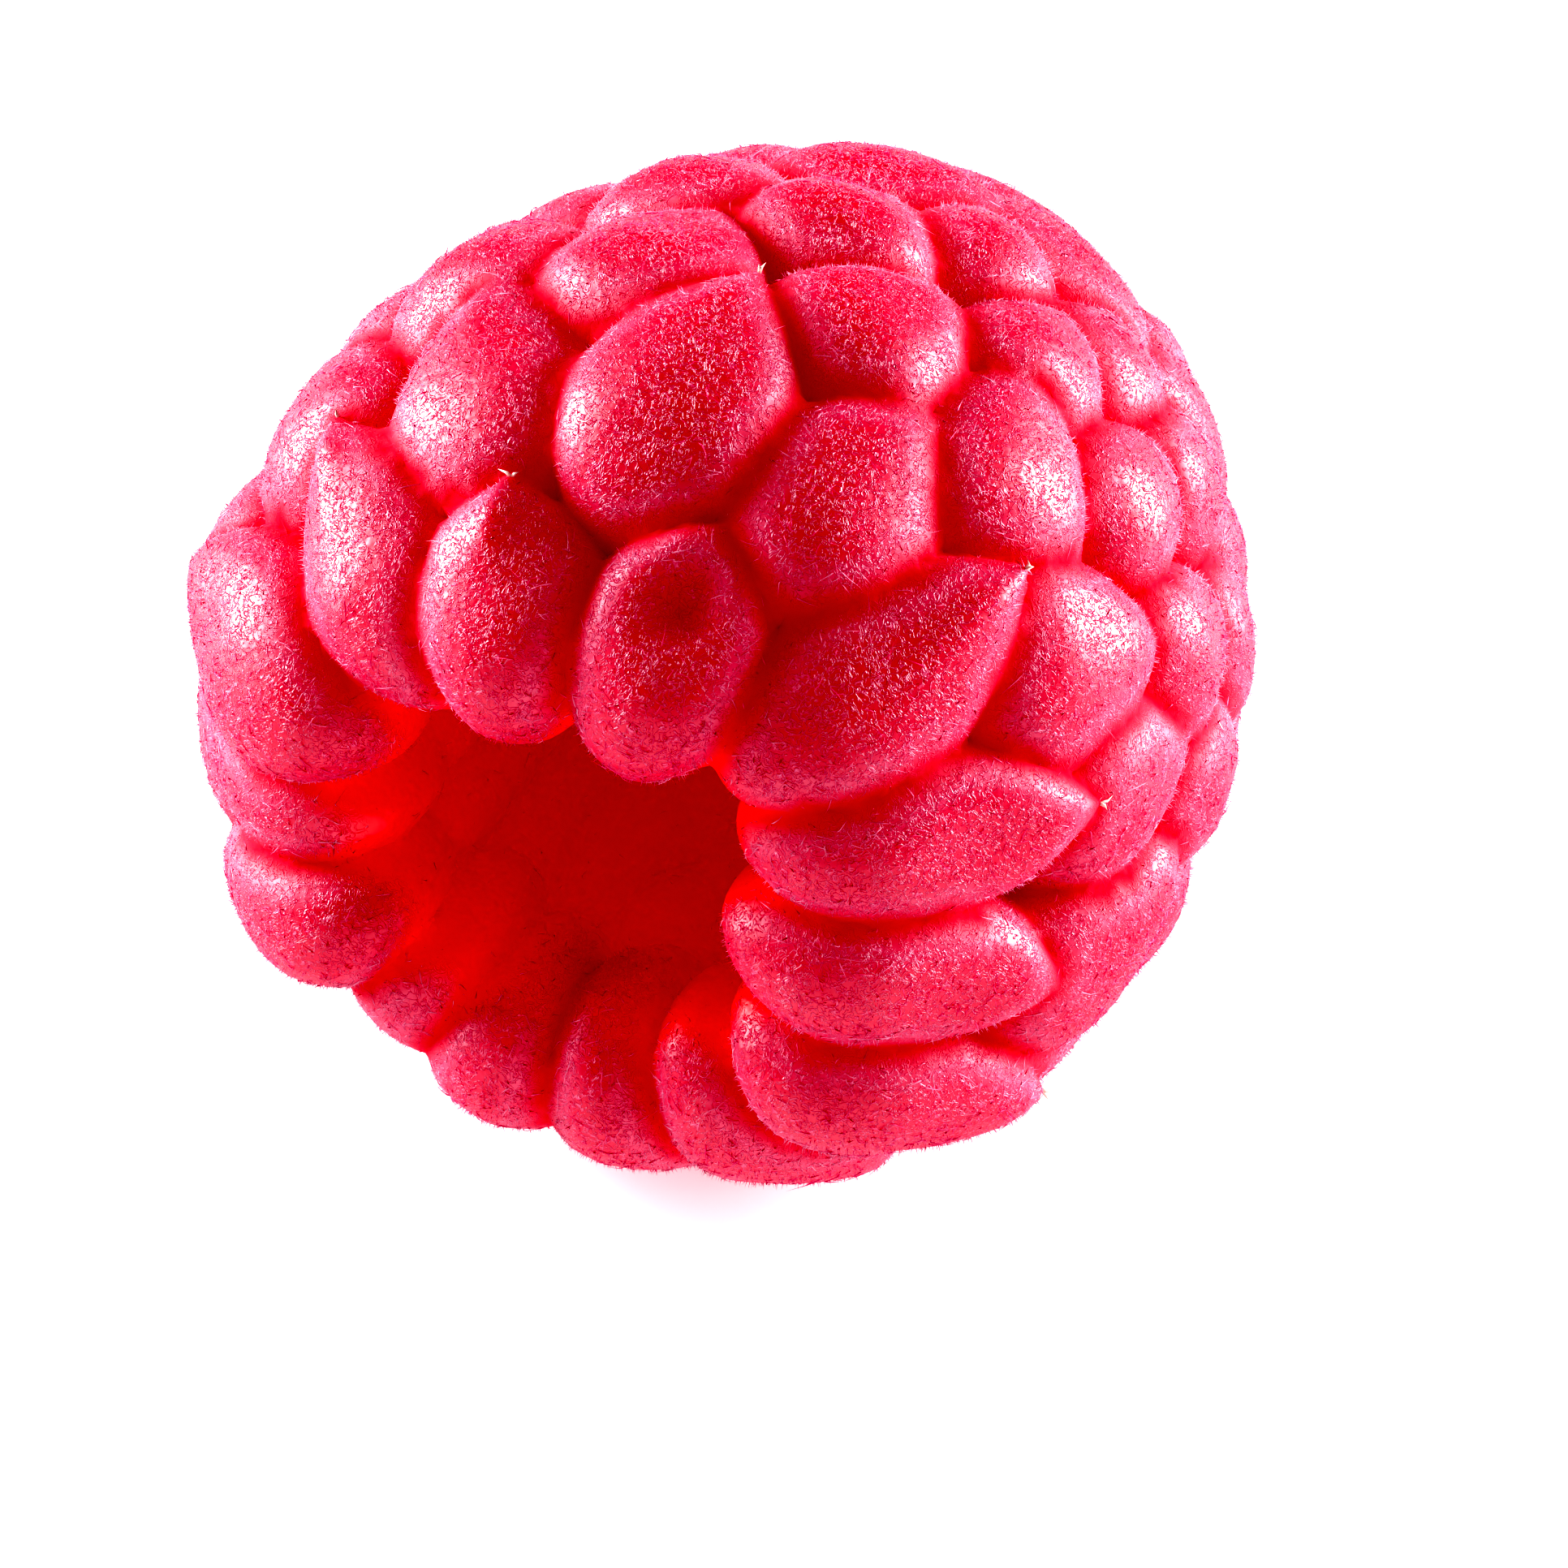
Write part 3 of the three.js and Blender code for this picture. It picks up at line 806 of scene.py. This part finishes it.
def down_finish(name, darker, paler):
    """Fine hair in patches of two tones, with a painted sheen that makes it whitest along the edges
    of the beads.
    """
    m = Nodes(name)
    hair = m.mix(m.mottle(HAIR_SCALE), darker, paler)
    # Painted sheen: hair paler along the edges of the beads
    painted_rim_sheen = m.maths("MULTIPLY", m.mark("rim"), HAIR_RIM_SHEEN_SHARE)
    m.feed(m.shader, "Base Color", m.mix(painted_rim_sheen, hair, RIM_SHEEN_PALE))
    m.feed(m.shader, "Roughness", 0.42)
    m.feed(m.shader, "Specular IOR Level", 0.8)
    return m.finish


def floor_finish():
    m = Nodes("white_paper")
    m.feed(m.shader, "Base Color", m.mix(m.mottle(PAPER_SCALE), *PAPER_TONES))
    m.feed(m.shader, "Roughness", 0.9)
    m.feed(m.shader, "Specular IOR Level", 0.1)
    m.feed(m.shader, "Emission Color", (1, 1, 1, 1))
    m.feed(m.shader, "Emission Strength", FLOOR_GLOW)
    return m.finish


def dress(piece, finish):
    piece.data.materials.clear()
    piece.data.materials.append(finish)
    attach(piece, "root")
    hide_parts("raspberry")


# --- The berry
SMOOTH_ANGLE = math.radians(50)


def grow_down(berry, marks, rng):
    curled = down_finish("pale_down", *CURLED_TONES)
    velvet = down_finish("pale_velvet", *VELVET_TONES)
    for name, hairs, *form in DOWN:
        root, way, rim = roots_on(berry, marks, hairs, rng)
        piece = hair_piece(name, *grown_hairs(root, way, rng, *form))
        add_value(piece.data, "rim", np.repeat(rim, len(piece.data.vertices) // hairs))
        dress(piece, velvet if name == "velvet" else curled)
        piece.visible_shadow = False   # fine down lets the light through


def finish_flesh(berry):
    berry.data.shade_smooth()
    berry.data.set_sharp_from_angle(angle=SMOOTH_ANGLE)
    set_down(berry)
    dress(berry, flesh_finish())


rng = np.random.default_rng(SEED)
berry = fleshy_cup()
grow_down(berry, mark_skin(berry), rng)
dress(style_ends(berry, rng), down_finish("dry_style", *STYLE_TONES))
finish_flesh(berry)

# --- Floor, light and camera, seen from the front right and well above
TURN, RISE = math.radians(24.4), math.radians(40.3)
BACK = Vector((math.sin(TURN) * math.cos(RISE), -math.cos(TURN) * math.cos(RISE), math.sin(RISE)))
RIGHT = Vector((math.cos(TURN), math.sin(TURN), 0))
UP = BACK.cross(RIGHT)
CAMERA_AWAY = 170 * MM
AIM_RIGHT, AIM_DOWN = 0.965, 2.21
AIM = Vector(HEART) * MM + RIGHT * AIM_RIGHT * MM - UP * AIM_DOWN * MM
SENSOR_WIDTH = 36                # in the camera's own millimetres
NEAR_AND_FAR = 0.01, 10
VIEW_WIDTH = 28.2456 * MM        # seen across, at the berry's heart
FLOOR_REACH = 3
FLOOR_GLOW = 0.30
LAMP_AWAY = 0.30
LAMP_POWER = 1.15
SKY_POWER = 0.28
DEEPENED_DARKS = (-0.075, 0.083, 0.068)


def camera():
    lens = bpy.data.cameras.new("camera")
    lens.sensor_width = SENSOR_WIDTH
    lens.lens = SENSOR_WIDTH * CAMERA_AWAY / VIEW_WIDTH
    lens.clip_start, lens.clip_end = NEAR_AND_FAR
    piece = bpy.data.objects.new("camera", lens)
    bpy.context.scene.collection.objects.link(piece)
    piece.matrix_world = Matrix((
        (RIGHT.x, UP.x, BACK.x, 0), (RIGHT.y, UP.y, BACK.y, 0),
        (RIGHT.z, UP.z, BACK.z, 0), (0, 0, 0, 1)))
    piece.location = AIM + BACK * CAMERA_AWAY
    bpy.context.scene.camera = piece


def softbox(name, right, up, back, width, height):
    """A soft light placed as seen from the front: to the right, up and towards the viewer."""
    way = (RIGHT * right + UP * up + BACK * back).normalized()
    lamp = bpy.data.lights.new(name, "AREA")
    lamp.shape, lamp.size, lamp.size_y = "RECTANGLE", width, height
    lamp.energy = LAMP_POWER
    piece = bpy.data.objects.new(name, lamp)
    bpy.context.scene.collection.objects.link(piece)
    turn = way.to_track_quat("Z", "Y").to_matrix().to_4x4()
    piece.matrix_world = Matrix.Translation(Vector(HEART) * MM + way * LAMP_AWAY) @ turn


def floor():
    bm = bmesh.new()
    bmesh.ops.create_grid(bm, x_segments=4, y_segments=4, size=FLOOR_REACH)
    piece = object_of(bm, "floor")
    piece.data.materials.append(floor_finish())


def sky():
    world = bpy.data.worlds.new("studio")
    world.use_nodes = True
    glow = world.node_tree.nodes["Background"]
    glow.inputs["Color"].default_value = (1, 1, 1, 1)
    glow.inputs["Strength"].default_value = SKY_POWER
    bpy.context.scene.world = world


def crisp_tones():
    """Deep reds and clean whites."""
    view = bpy.context.scene.view_settings
    view.view_transform = "Standard"
    view.look = "Very High Contrast"
    view.use_curve_mapping = True
    view.curve_mapping.black_level = DEEPENED_DARKS


camera()
floor()
softbox("right_light", 0.91, 0.34, -0.08, width=0.13, height=0.16)
softbox("left_light", -0.86, 0.43, -0.12, width=0.12, height=0.16)
sky()
crisp_tones()
